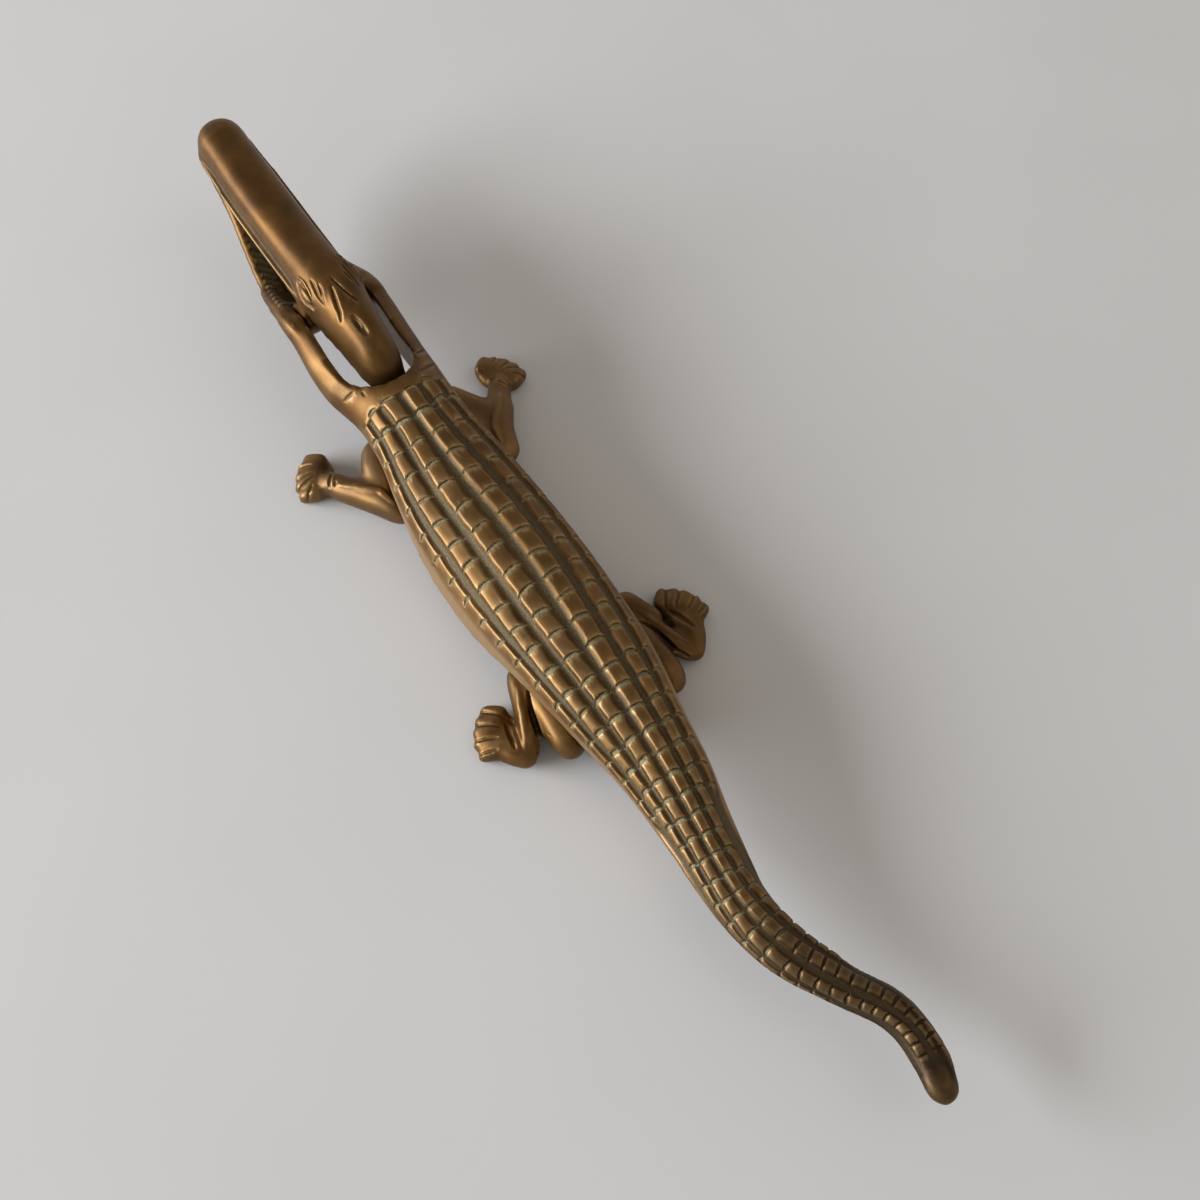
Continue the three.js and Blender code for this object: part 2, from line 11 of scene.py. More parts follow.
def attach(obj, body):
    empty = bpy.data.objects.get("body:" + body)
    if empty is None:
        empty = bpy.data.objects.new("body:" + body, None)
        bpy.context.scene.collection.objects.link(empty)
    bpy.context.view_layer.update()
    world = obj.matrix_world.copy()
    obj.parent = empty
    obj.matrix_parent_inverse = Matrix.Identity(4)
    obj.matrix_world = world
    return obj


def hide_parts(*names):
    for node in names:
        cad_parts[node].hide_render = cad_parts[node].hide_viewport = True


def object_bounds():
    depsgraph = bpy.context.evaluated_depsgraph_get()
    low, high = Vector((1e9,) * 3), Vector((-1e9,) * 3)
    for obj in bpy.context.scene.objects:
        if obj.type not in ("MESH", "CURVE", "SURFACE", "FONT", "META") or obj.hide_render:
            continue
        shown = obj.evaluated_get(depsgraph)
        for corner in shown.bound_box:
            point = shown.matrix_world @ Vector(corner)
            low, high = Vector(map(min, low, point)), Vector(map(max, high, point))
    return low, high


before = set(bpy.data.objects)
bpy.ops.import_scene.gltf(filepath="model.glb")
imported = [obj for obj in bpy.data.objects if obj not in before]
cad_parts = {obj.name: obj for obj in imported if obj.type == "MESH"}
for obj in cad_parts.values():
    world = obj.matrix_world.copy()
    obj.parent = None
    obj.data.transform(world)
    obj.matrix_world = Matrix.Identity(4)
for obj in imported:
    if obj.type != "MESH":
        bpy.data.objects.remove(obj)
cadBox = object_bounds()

mm = 0.001
mergeGap = 0.001  # points this close become one, in mm
relaxStep = 0.6  # share of the way to its neighbours' mean that a point goes in a round


# sRGB hex to linear
def linear(hexText):
    parts = [int(hexText[i:i + 2], 16) / 255 for i in (1, 3, 5)]
    return [c / 12.92 if c <= 0.04045 else ((c + 0.055) / 1.055) ** 2.4 for c in parts] + [1.0]


def addNode(tree, kind, settings=None, links=None, values=None):
    node = tree.nodes.new(kind)
    for name, value in (settings or {}).items():
        setattr(node, name, value)
    for name, value in (values or {}).items():
        node.inputs[name].default_value = value
    for name, source in (links or {}).items():
        tree.links.new(source, node.inputs[name])
    return node


def readPoints(mesh):
    flat = np.empty(len(mesh.vertices) * 3, np.float32)
    mesh.vertices.foreach_get("co", flat)
    return flat.reshape(-1, 3).astype(float) / mm


def writePoints(mesh, points):
    mesh.vertices.foreach_set("co", (points * mm).astype(np.float32).ravel())
    mesh.update()


def readNormals(mesh):
    flat = np.empty(len(mesh.vertices) * 3, np.float32)
    mesh.vertex_normals.foreach_get("vector", flat)
    return flat.reshape(-1, 3).astype(float)


def readEdges(mesh):
    flat = np.empty(len(mesh.edges) * 2, np.int32)
    mesh.edges.foreach_get("vertices", flat)
    return flat.reshape(-1, 2)


def setAttribute(mesh, name, values):
    layer = mesh.attributes.new(name, "FLOAT", "POINT")
    layer.data.foreach_set("value", values.astype(np.float32))


# 0 below the first value and 1 above the second, with a soft start and end
def ramp(value, low, high):
    share = np.clip((value - low) / (high - low), 0, 1)
    return share * share * (3 - 2 * share)


def bell(value, middle, spread):
    return np.exp(-((value - middle) / spread) ** 2)


# value read from a table of place: value
def lookUp(place, table):
    places = sorted(table)
    return np.interp(place, places, [table[p] for p in places])


def neighbourMean(values, edges, count):
    a, b = edges[:, 0], edges[:, 1]
    size = len(count)
    columns = values.reshape(size, -1).T
    total = [np.bincount(a, c[b], size) + np.bincount(b, c[a], size) for c in columns]
    return (np.stack(total, 1) / count[:, None]).reshape(values.shape)


def relax(values, edges, rounds, weight=None):
    count = np.maximum(np.bincount(edges.ravel(), minlength=len(values)), 1)
    step = relaxStep
    if weight is not None:
        step = relaxStep * weight.reshape((-1,) + (1,) * (values.ndim - 1))
    for _ in range(rounds):
        values = values + step * (neighbourMean(values, edges, count) - values)
    return values


# smoothed form that keeps its size: what the first pass took away is smoothed and put back
def settleForm(points, edges, rounds, weight):
    once = relax(points, edges, rounds, weight)
    return once + relax(points - once, edges, rounds, weight)


def applyModifiers(piece):
    depsgraph = bpy.context.evaluated_depsgraph_get()
    settled = bpy.data.meshes.new_from_object(piece.evaluated_get(depsgraph))
    old = piece.data
    piece.modifiers.clear()
    piece.data = settled
    bpy.data.meshes.remove(old)


# a casting starts as a merged copy of its CAD node, laid with an even skin of small quads
def castingBlank(name, nodeName, voxel, addMore=None):
    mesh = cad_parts[nodeName].data.copy()
    work = bmesh.new()
    work.from_mesh(mesh)
    bmesh.ops.remove_doubles(work, verts=work.verts, dist=mergeGap * mm)
    if addMore:
        addMore(work)
    work.to_mesh(mesh)
    work.free()
    piece = bpy.data.objects.new(name, mesh)
    bpy.context.scene.collection.objects.link(piece)
    evenSkin = piece.modifiers.new("even skin", "REMESH")
    evenSkin.mode = "VOXEL"
    evenSkin.voxel_size = voxel * mm
    applyModifiers(piece)
    print(name, "blank has", len(piece.data.vertices), "points")
    return piece


def refine(piece, levels):
    finer = piece.modifiers.new("finer skin", "SUBSURF")
    finer.levels = levels
    finer.render_levels = levels
    applyModifiers(piece)


def countTriangles(mesh):
    return sum(len(p.vertices) - 2 for p in mesh.polygons)


def thinOut(piece, mostTriangles):
    triangles = countTriangles(piece.data)
    if triangles > mostTriangles:
        fewer = piece.modifiers.new("fewer faces", "DECIMATE")
        fewer.ratio = mostTriangles / triangles
        applyModifiers(piece)
    print(piece.name, "has", countTriangles(piece.data), "triangles")


def keepInBox(points):
    return np.clip(points, np.array(cadBox[0]) / mm, np.array(cadBox[1]) / mm)


# hollows, which get painted shade, and worn edges, from how far the skin lies below or above its own smoothed
# form
def findWearAndShade(mesh, rounds, span):
    points = readPoints(mesh)
    away = ((points - relax(points, readEdges(mesh), rounds)) * readNormals(mesh)).sum(1)
    return np.clip(away / span, -1, 1)


# carved and raised lines, in mm: step along a line, how far off the skin its path may be given,
# and how many widths round it are worked
strokeSettings = dict(step=0.5, skinReach=3.5, border=2.4, endShare=0.3, lipPlace=1.4, lipSpread=0.5)


def nearPath(points, path, reach):
    return np.all((points > path.min(0) - reach) & (points < path.max(0) + reach), axis=1)


# points of a path laid on the skin, closely spaced
def pathOnSkin(points, path):
    s = strokeSettings
    fine = [path[0]]
    for a, b in zip(path[:-1], path[1:]):
        steps = max(int(np.linalg.norm(b - a) / s["step"]), 1)
        fine += [a + (b - a) * (k + 1) / steps for k in range(steps)]
    fine = np.array(fine)
    skin = points[nearPath(points, fine, s["skinReach"])]
    if len(skin) == 0:
        return fine
    laid = np.array([skin[np.argmin(((skin - p) ** 2).sum(1))] for p in fine])
    for _ in range(2):
        laid[1:-1] = (laid[:-2] + 2 * laid[1:-1] + laid[2:]) / 4
    return laid


# distance of each point from a path, and how far along the path its nearest place is
def distanceToPath(points, path):
    best = np.full(len(points), np.inf)
    share = np.zeros(len(points))
    for i in range(len(path) - 1):
        a, b = path[i], path[i + 1]
        span = max(float(np.dot(b - a, b - a)), 1e-9)
        t = np.clip((points - a) @ (b - a) / span, 0, 1)
        d = np.linalg.norm(points - (a + t[:, None] * (b - a)), axis=1)
        closer = d < best
        best = np.where(closer, d, best)
        share = np.where(closer, (i + t) / (len(path) - 1), share)
    return best, share


# lift of each point for one stroke: a line with thin ends, or an oval between two ends
def strokeLift(points, stroke, mirrored):
    s = strokeSettings
    shift = np.array(stroke.get("rightShift", (0, 0, 0)), float) if mirrored else np.zeros(3)
    path = np.array([(x, -y if mirrored else y, z) for x, y, z in stroke["path"]], float) + shift
    path = pathOnSkin(points, path)
    width = stroke["width"]
    near = np.where(nearPath(points, path, s["border"] * width))[0]
    lift = np.zeros(len(points))
    mark = np.zeros(len(points))
    if len(near) == 0:
        return lift, mark
    if stroke.get("oval"):
        middle = (path[0] + path[-1]) / 2
        half = np.linalg.norm(path[-1] - path[0]) / 2
        axis = (path[-1] - path[0]) / (2 * half)
        off = points[near] - middle
        lengthwise = off @ axis
        across = np.linalg.norm(off - lengthwise[:, None] * axis, axis=1)
        inside = np.clip(1 - (lengthwise / half) ** 2 - (across / width) ** 2, 0, 1)
        inside = inside ** stroke.get("power", 0.7)
        lift[near] = stroke["lift"] * inside
        mark[near] = ramp(inside, 0.15, 0.5)
        return lift, mark
    distance, share = distanceToPath(points[near], path)
    ends = s["endShare"] + (1 - s["endShare"]) * np.clip(4 * share * (1 - share), 0, 1) ** 0.5
    inside = np.clip(1 - (distance / (width * ends)) ** 2, 0, 1) ** 1.5
    lips = bell(distance, s["lipPlace"] * width, s["lipSpread"] * width)
    lift[near] = stroke["lift"] * ends * (inside - stroke.get("lips", 0) * lips)
    mark[near] = inside
    return lift, mark


# points moved by all strokes, on both sides unless told, and the marks that hold dirt
def carve(points, normals, strokes):
    lift = np.zeros(len(points))
    floor = np.zeros(len(points))
    for stroke in strokes:
        for mirrored in stroke.get("sides", (False, True)):
            moved, mark = strokeLift(points, stroke, mirrored)
            lift += moved
            floor = np.maximum(floor, mark * stroke.get("floor", 0))
    return points + lift[:, None] * normals, floor


# lever: back, tail, fork and lower jaw in one casting; in mm, and a pair is where a change starts and ends
lever = dict(
    voxel=0.62, triangles=195000,
    lightRounds=8, formRounds=110, broadHalf=15.0, forkRear=59.5,
    pivot=(96.5, 0.0, 21.0), plugRadius=2.7, plugInner=10.8, plugOuter=15.1,
    cheekLift={60: 0.0, 70: 0.6, 94: 0.6, 104: 0.0}, jawShift={94: 0.0, 107: 0.9, 122: 1.0, 142: 0.0},
    blendX=102.5, blendReach=12.0,
    mouthCorner=[(93.0, 12.3, 22.6, 3.1), (101.0, 12.2, 20.8, 2.9), (116.0, 11.0, 14.6, 1.9)],
    forkShift=0.9, forkStart=(58.0, 73.0), forkEnd=(75.0, 93.0),
    flankLift=1.0, flankRear=(-70.0, -45.0), flankFront=(35.0, 58.0),
    tailLift=0.9, tailFront=(-75.0, -55.0), tailRear=(-164.0, -156.0),
    beadRear=-58.0, beadFront=57.0, beadFade=6.0, beadHeight=0.9, beadLift=0.28, beadSpread=0.7,
    grooveHeight=2.3, grooveDepth=0.3, grooveSpread=0.5,
    toothRear=100.0, toothFront=150.0, toothFade=4.0, toothPitch=2.5, toothLift=1.3, toothBelow=2.0,
    toothSpread=1.6, toothWall=(1.8, 2.7),
)
# scales: place of each cross cut by its number, lean of the rows off the crest in degrees,
# the share of the angle that counts, which is less where the last rows broaden,
# and the rows of one half by their angle from the crest
scales = dict(
    cuts={0: 54.6, 1: 46.5, 8: -6.3, 13: -42.0, 18: -72.4, 23: -98.6, 28: -121.2, 33: -137.8, 38: -152.5,
          41: -161.0},
    frontPitch=8.1,
    lean={60: 9.0, 40: 7.0, 10: 2.0, -10: 3.0, -40: 10.0, -70: 14.5, -90: 14.0, -115: 11.0, -135: 8.0,
          -152: -4.0},
    leanFade=(74.0, 94.0),
    broaden={-90: 1.0, -100: 0.85, -113: 0.58, -160: 0.45},
    rows=[
        dict(middle=13.6, half=9.7, shift=0.0, end=-160.0),
        dict(middle=38.8, half=8.4, shift=0.12, end=-136.0),
        dict(middle=61.5, half=6.0, shift=0.28, end=-84.0),
    ],
    slantEnd=-60.0, slantFade=50.0, fade=8.0, wave=0.03, waveTurn=0.9,
    top=0.4, valley=0.75, hem=(66.0, 80.0), cutHem=(72.0, 80.0), bareFlank=(64.0, 76.0),
    pillow=(75.0, 115.0),  # how far behind the middle the scutes start to grow rounder, and are fully so
    tailPlain=(-161.0, -155.0), tailDark=(-140.0, -55.0), bareRear=(-110.0, -80.0), bareFront=(45.0, 60.0),
    sandRear=(-125.0, -95.0), dirtRear=(-130.0, -100.0),
    cutWidth={60: 1.0, 0: 1.1, -60: 1.4, -95: 1.15, -115: 0.85, -152: 0.75},
    cutDepth={60: 0.6, 0: 0.7, -60: 0.8, -95: 0.7, -115: 0.6, -152: 0.55},
    cutReach={60: 1.06, -30: 1.1, -60: 1.45, -100: 1.45, -120: 1.2, -152: 1.1},
    wideCut=1.6, wideReach=2.0, cutEdge=0.12, jitter=0.05, tilt=0.07,
)
# short lines cut in the collar, two on the left and two on the right
collarStrokes = [
    dict(path=[(64.8, 13.5, 22.2), (64.1, 12.0, 24.1), (63.9, 10.4, 25.4)], width=0.7, lift=-0.4, floor=0.35,
         sides=(False,)),
    dict(path=[(62.0, 9.2, 26.2), (60.3, 9.0, 26.2)], width=0.6, lift=-0.25, floor=0.2, sides=(False,)),
    dict(path=[(64.9, -10.0, 25.7), (67.3, -13.6, 22.4)], width=0.7, lift=-0.4, sides=(False,)),
    dict(path=[(58.3, -6.9, 27.3), (61.3, -12.5, 22.9)], width=0.9, lift=-0.4, sides=(False,)),
]


# closed balls along a limb, each as high as asked, which the even skin joins into the casting
def fillLimb(work, path, highest=None):
    for a, b in zip(path[:-1], path[1:]):
        for share in np.linspace(0, 1, 7):
            x, y, z, radius = (1 - share) * np.array(a) + share * np.array(b)
            shape = Matrix.Diagonal((1, 1, (highest or radius) / radius, 1))
            bmesh.ops.create_icosphere(work, subdivisions=2, radius=radius * mm,
                                       matrix=Matrix.Translation(Vector((x, y, z)) * mm) @ shape)


# riveted ends of the pin, filed flush, which close the bore in both cheeks, and the corners of the mouth
def rivets(work):
    s = lever
    for side in (1, -1):
        fillLimb(work, [(x, side * y, z, radius) for x, y, z, radius in s["mouthCorner"]])
    length = s["plugOuter"] - s["plugInner"]
    for side in (1, -1):
        middle = Vector((s["pivot"][0], side * (s["plugInner"] + length / 2), s["pivot"][2])) * mm
        bmesh.ops.create_cone(work, cap_ends=True, segments=24, radius1=s["plugRadius"] * mm,
                              radius2=s["plugRadius"] * mm, depth=length * mm,
                              matrix=Matrix.Translation(middle) @ Matrix.Rotation(math.radians(90), 4, "X"))


# middle, half width, height of the widest place and top of a long form, along its length
def formLines(points):
    places = np.arange(points[:, 0].min() + 1, points[:, 0].max(), 2.0)
    rows = []
    for place in places:
        at = np.abs(points[:, 0] - place) < 1.6
        y = points[at, 1]
        middle = (y.max() + y.min()) / 2
        half = (y.max() - y.min()) / 2
        outer = at & (np.abs(points[:, 1] - middle) > 0.985 * half)
        rows.append((middle, half, points[outer, 2].mean(), points[at, 2].max()))
    rows = np.array(rows)
    window = np.hanning(9)[1:-1]
    window /= window.sum()
    padded = np.pad(rows, ((3, 3), (0, 0)), mode="edge")
    return places, np.stack([np.convolve(padded[:, k], window, "valid") for k in range(4)], 1)


# place along the curved axis and angle from the crest, for each point of the back
def backFrame(points):
    places, lines = formLines(points)
    middle = np.interp(points[:, 0], places, lines[:, 0])
    slope = np.interp(points[:, 0], places, np.gradient(lines[:, 0], places))
    along = points[:, 0] + (points[:, 1] - middle) * slope
    middle, half, widest, top = (np.interp(along, places, lines[:, k]) for k in range(4))
    across = (points[:, 1] - middle) / np.maximum(half, 1)
    rise = (points[:, 2] - widest) / np.maximum(top - widest, 1)
    return along, np.degrees(np.arctan2(across, rise)), half, across, rise


# lift of the scaled back, with the dirt in its cuts, the sand between its rows and how pale or dark it is
def scaleRelief(points, normals):
    s = scales
    along, angle, half, across, rise = backFrame(points)
    onBack = ramp(normals[:, 1] * across + normals[:, 2] * rise, 0.15, 0.4) * ramp(rise, -0.1, 0.08)
    angle = angle - lookUp(along, s["lean"]) * (1 - ramp(np.abs(angle), *s["leanFade"]))
    angle = angle * lookUp(along, s["broaden"])
    numbers = sorted(s["cuts"])
    places = [s["cuts"][n] for n in numbers]
    number = np.interp(-along, [-p for p in places], numbers)
    number = np.where(along > places[0], (places[0] - along) / s["frontPitch"], number)
    pitch = -np.interp(number, numbers, np.gradient(places, numbers))
    slant = np.clip((along - s["slantEnd"]) / s["slantFade"], 0, 1)
    width = lookUp(along, s["cutWidth"])
    depth = lookUp(along, s["cutDepth"])
    reach = lookUp(along, s["cutReach"])
    pillow = ramp(-along, *s["pillow"])
    # for each row and cut, how far its place, tilt, width and depth are off
    rowCount, cutCount = 6, 48
    chance = np.random.default_rng(7).uniform(-1, 1, (rowCount, cutCount, 4))
    bar = np.zeros(len(points))
    crown = np.zeros(len(points))
    cut = np.zeros(len(points))
    floor = np.zeros(len(points))
    for k, (row, side) in enumerate((r, d) for r in s["rows"] for d in (1, -1)):
        wave = s["wave"] * np.sin(along * s["waveTurn"] + k)
        t = (side * angle - row["middle"]) / row["half"] + wave * (1 - pillow)  # -1 to 1 across the row
        flank = row is s["rows"][-1]
        keep = ramp(along, row["end"], row["end"] + s["fade"])
        turn = number + row["shift"] * slant
        nearest = np.clip(np.round(turn), 0, cutCount - 1).astype(int)
        turn = turn + s["jitter"] * chance[k, nearest, 0]
        turn = turn + s["tilt"] * chance[k, nearest, 1] * np.clip(t, -1.3, 1.3)
        off = (turn - nearest) * pitch
        sized = width * (1 + 0.2 * chance[k, nearest, 2]) * (0.75 if flank else 1)
        wide = nearest == 1  # the one wide cut, behind the collar
        sized = np.where(wide, s["wideCut"], sized)
        span = np.where(wide, s["wideReach"], reach * (0.8 if flank else 1))
        taper = np.clip(1 - np.abs(t / span) ** 2.2, 0, 1) ** 0.8
        sized = np.maximum(sized * taper, 1e-3)
        inCut = (off - 0.3 * width + sized) / sized  # 0 to 1 from the front of the cut to its rear
        edge = s["cutEdge"] / sized
        hollow = ramp(inCut, 0, 2 * edge) * (1 - ramp(inCut, 1 - edge, 1 + edge))
        hollow *= (1 - 0.55 * np.clip(inCut, 0, 1)) * ramp(taper, 0.02, 0.3) * keep
        hollow *= (number > -0.45) & (np.abs(t) < span)
        cut = np.maximum(cut, hollow * depth * (1 + 0.2 * chance[k, nearest, 3]))
        dirty = ramp(hollow, 0.1, 0.35) * ramp(inCut, 0.1, 0.4) * ramp(along, *s["dirtRear"])
        floor = np.maximum(floor, dirty)
        part = turn - np.floor(turn)
        sideways = np.where((t > 0) & flank, 0, np.abs(t))
        sides = (1 - ramp(sideways, 0.55, 1.28)) * keep
        barrel = 1 - (0.25 + 0.5 * pillow) * np.clip(sideways, 0, 1) ** 2
        barrel = barrel - (0.12 + 0.55 * pillow) * np.abs(2 * part - 1) ** 3
        raised = s["top"] * barrel + 0.1 * (part - 0.5) * (1 - pillow)
        crown = np.where(sides > bar, raised, crown)
        bar = np.maximum(bar, sides)
    hem = 1 - ramp(np.abs(angle), *s["hem"])
    front = ramp(places[0] + 0.4 - along, 0, 1.0)
    rear = ramp(along, *s["tailPlain"])
    size = np.clip(half / 10, 0.45, 1)
    field = onBack * front * rear
    groove = (1 - bar) * hem
    lift = field * size * (crown * bar * hem - s["valley"] * groove)
    shownCut = onBack * rear * ramp(places[0] + 2.5 - along, 0, 0.5) * (1 - ramp(np.abs(angle), *s["cutHem"]))
    lift -= shownCut * np.sqrt(size) * cut
    sandy = field * ramp(groove, 0.3, 0.9) * (0.35 + 0.65 * ramp(along, *s["sandRear"]))
    # the flanks are made paler, a painted reflection of the pale table laid over rubbed brass, and the tail
    # end darker
    bare = ramp(np.abs(angle), *s["bareFlank"]) * ramp(along, *s["bareRear"])
    bare = bare * (1 - ramp(along, *s["bareFront"]))
    tone = bare - (1 - ramp(along, *s["tailDark"]))
    return lift, shownCut * floor, sandy, tone


def makeLever():
    s = lever
    piece = castingBlank("leverSkin", "lever_casting", s["voxel"], rivets)
    mesh = piece.data
    edges = readEdges(mesh)
    points = settleForm(readPoints(mesh), edges, s["lightRounds"], None)
    writePoints(mesh, points)
    normals = readNormals(mesh)
    along, angle, half, across, rise = backFrame(points)
    length = np.maximum(np.hypot(across, rise), 1e-3)
    outward = (normals[:, 1] * across + normals[:, 2] * rise) / length
    # the outside of the back is smoothed most, the fork and the thin tail little, the hinge again
    weight = ramp(outward, 0.5, 0.8) * ramp(rise, -0.5, -0.1)
    weight *= 1 - 0.94 * ramp(points[:, 0], s["forkRear"] - 3, s["forkRear"] + 6)
    weight *= np.clip((half / s["broadHalf"]) ** 2, 0.2, 1)
    joining = bell(points[:, 0], s["blendX"], s["blendReach"]) * ramp(outward, 0.35, 0.7)
    weight = np.maximum(weight, joining * (rise > -1.2))
    weight = relax(weight, edges, 3)
    points = settleForm(points, edges, s["formRounds"], weight)
    writePoints(mesh, points)
    refine(piece, 1)
    mesh = piece.data
    points = readPoints(mesh)
    normals = readNormals(mesh)
    lift, floor, sandy, tone = scaleRelief(points, normals)
    lift += rimBead(points, normals)
    grip, inMouth = toothRow(points, normals)
    along, angle, half, across, rise = backFrame(points)
    x = points[:, 0]
    leftFace = ramp(normals[:, 1], 0.2, 0.7) * ramp(across, 0.5, 0.8)
    rightFace = ramp(-normals[:, 1], 0.2, 0.7) * ramp(-across, 0.5, 0.8)
    cheek = leftFace * lookUp(x, s["cheekLift"])
    flank = leftFace * ramp(x, *s["flankRear"]) * (1 - ramp(x, *s["flankFront"]))
    tailSide = rightFace * (1 - ramp(x, *s["tailFront"])) * ramp(x, *s["tailRear"])
    lift += grip + cheek + s["flankLift"] * flank + s["tailLift"] * tailSide
    carved, marks = carve(points, normals, collarStrokes)
    points = carved + lift[:, None] * normals
    points[:, 1] += s["forkShift"] * ramp(x, *s["forkStart"]) * (1 - ramp(x, *s["forkEnd"]))
    points[:, 1] += lookUp(x, s["jawShift"]) * ramp(points[:, 1], 2, 8)
    writePoints(mesh, keepInBox(points))
    setAttribute(mesh, "cutFloor", np.maximum(np.maximum(floor, marks), 0.6 * inMouth))
    setAttribute(mesh, "sandy", np.maximum(sandy, inMouth))
    setAttribute(mesh, "tone", tone)
    thinOut(piece, s["triangles"])
    return piece


# row of worn teeth along the inside of each wall of the lower jaw, with dirt round them
def toothRow(points, normals):
    s = lever
    places, lines = formLines(points)
    half = np.interp(points[:, 0], places, lines[:, 1])
    top = np.interp(points[:, 0], places, lines[:, 3])
    inside = ramp(points[:, 0], s["toothRear"], s["toothRear"] + s["toothFade"])
    inside *= 1 - ramp(points[:, 0], s["toothFront"] - s["toothFade"], s["toothFront"])
    inside *= ramp(half - np.abs(points[:, 1]), *s["toothWall"]) * ramp(normals[:, 2], -0.15, 0.2)
    tooth = np.abs(np.sin(np.pi * points[:, 0] / s["toothPitch"]))
    band = bell(top - points[:, 2], s["toothBelow"], s["toothSpread"])
    return inside * band * s["toothLift"] * (tooth ** 0.7 - 0.4), inside * band


# rolled edge along the foot of the shell, with a thin groove over it
def rimBead(points, normals):
    s = lever
    along, angle, half, across, rise = backFrame(points)
    outside = ramp(normals[:, 1] * across, 0.35, 0.7) * ramp(np.abs(across), 0.75, 0.9)
    places = np.arange(s["beadRear"], s["beadFront"], 1.5)
    low = []
    for place in places:
        at = (np.abs(points[:, 0] - place) < 1.2) & (outside > 0.5)
        low.append(points[at, 2].min() if at.any() else np.nan)
    low = np.array(low)
    good = ~np.isnan(low)
    low = np.interp(places, places[good], low[good])
    low = np.convolve(np.pad(low, 3, mode="edge"), np.ones(7) / 7, "valid")
    height = points[:, 2] - np.interp(points[:, 0], places, low)
    shown = outside * ramp(points[:, 0], s["beadRear"], s["beadRear"] + s["beadFade"])
    shown *= 1 - ramp(points[:, 0], s["beadFront"] - s["beadFade"], s["beadFront"])
    bead = s["beadLift"] * bell(height, s["beadHeight"], s["beadSpread"])
    return shown * (bead - s["grooveDepth"] * bell(height, s["grooveHeight"], s["grooveSpread"]))


# how far each right limb stands from where the left one's mirror image would, in mm
rightFore = (0.9, -3.4, 0.0)
rightElbow = (0.4, -1.2, 0.0)
rightHind = (2.3, -1.6, 0.0)
# base: snout, head, spine and legs in one casting, in mm
base = dict(
    voxel=0.6, triangles=195000, lightRounds=8, formRounds=60, limbShare=0.4, pawShare=0.1,
    paws=[(60.5, 28.9), (61.4, -32.3), (-32.4, 28.9), (-30.1, -30.5)], pawReach=9.5,
    headRear=58.0, headLow=23.0, lipLow=28.7, lipHigh=31.4, lipDepth=0.4, lipEdge=0.12,
    crownNarrow=0.8, lipRear=99.0, lipFront=160.0, bendFrom=110.0, bendLength=56.0, bendSide=-1.0, bendUp=1.4,
    legInner=(8.0, 11.0), legFront=72.0, foreTone=0.2, hindTone=0.05, fullHeight=4.4,
    armpit=dict(rear=43.0, front=63.0, inner=8.0, outer=17.0, high=16.0),
)
lineGroove = dict(width=0.7, lift=-0.4, lips=0.12)
toe = dict(width=0.65, lift=-0.42)
headStrokes = [
    # eye socket, eye, upper lid, lower lid and the crease over the eye
    dict(path=[(98.2, 7.2, 34.6), (92.9, 7.6, 34.4), (88.2, 7.3, 32.9)], oval=True, width=2.1, lift=-0.55,
         power=0.6),
    dict(path=[(96.6, 7.5, 34.2), (92.9, 7.6, 34.2), (89.8, 7.4, 33.4)], oval=True, width=1.3, lift=0.75),
    dict(path=[(99.2, 6.9, 35.0), (95.7, 6.1, 36.2), (91.8, 6.5, 35.8), (87.7, 7.3, 32.6)],
         width=0.5, lift=0.3),
    dict(path=[(98.8, 7.4, 34.2), (96.9, 8.2, 32.2), (92.2, 8.6, 32.4), (87.7, 7.6, 31.8)],
         width=0.5, lift=0.25),
    dict(path=[(97.8, 7.0, 35.0), (95.2, 6.6, 35.6), (91.8, 6.9, 35.2), (88.4, 7.3, 33.4)],
         width=0.4, lift=-0.4),
    # wrinkles behind the eyes
    dict(path=[(93.9, 4.7, 37.5), (89.7, 5.4, 36.7), (86.7, 5.7, 35.7)], **lineGroove),
    dict(path=[(91.3, 3.9, 37.9), (88.7, 4.6, 37.2), (85.9, 5.6, 35.7)], **lineGroove),
    dict(path=[(88.3, 1.5, 38.4), (84.1, 2.8, 37.7), (80.2, 3.7, 36.4), (78.5, 4.7, 35.1)],
         width=0.8, lift=-0.6, lips=0.15, sides=(False,)),
    dict(path=[(91.0, 0.3, 38.8), (86.0, -0.6, 38.3), (81.9, -1.8, 37.6), (80.6, -2.2, 37.3)],
         width=0.5, lift=-0.6, sides=(False,)),
    dict(path=[(98.5, -5.6, 36.9), (96.1, -6.5, 35.6), (93.6, -7.8, 35.1)], width=0.7, lift=-0.55, lips=0.3,
         sides=(False,)),
    # flaw in the casting on top of the neck
    dict(path=[(77.9, 1.4, 37.0), (74.0, 1.2, 36.2), (70.6, 0.9, 35.0)], oval=True, width=1.2, lift=-0.6,
         floor=0.2, power=0.6, sides=(False,)),
    dict(path=[(76.6, 1.7, 36.8), (73.0, 1.4, 36.0)], oval=True, width=0.6, lift=-0.5, floor=0.3,
         sides=(False,)),
    dict(path=[(73.4, 0.6, 36.2), (71.2, 0.4, 35.4)], oval=True, width=0.5, lift=-0.3, floor=0.4,
         sides=(False,)),
]
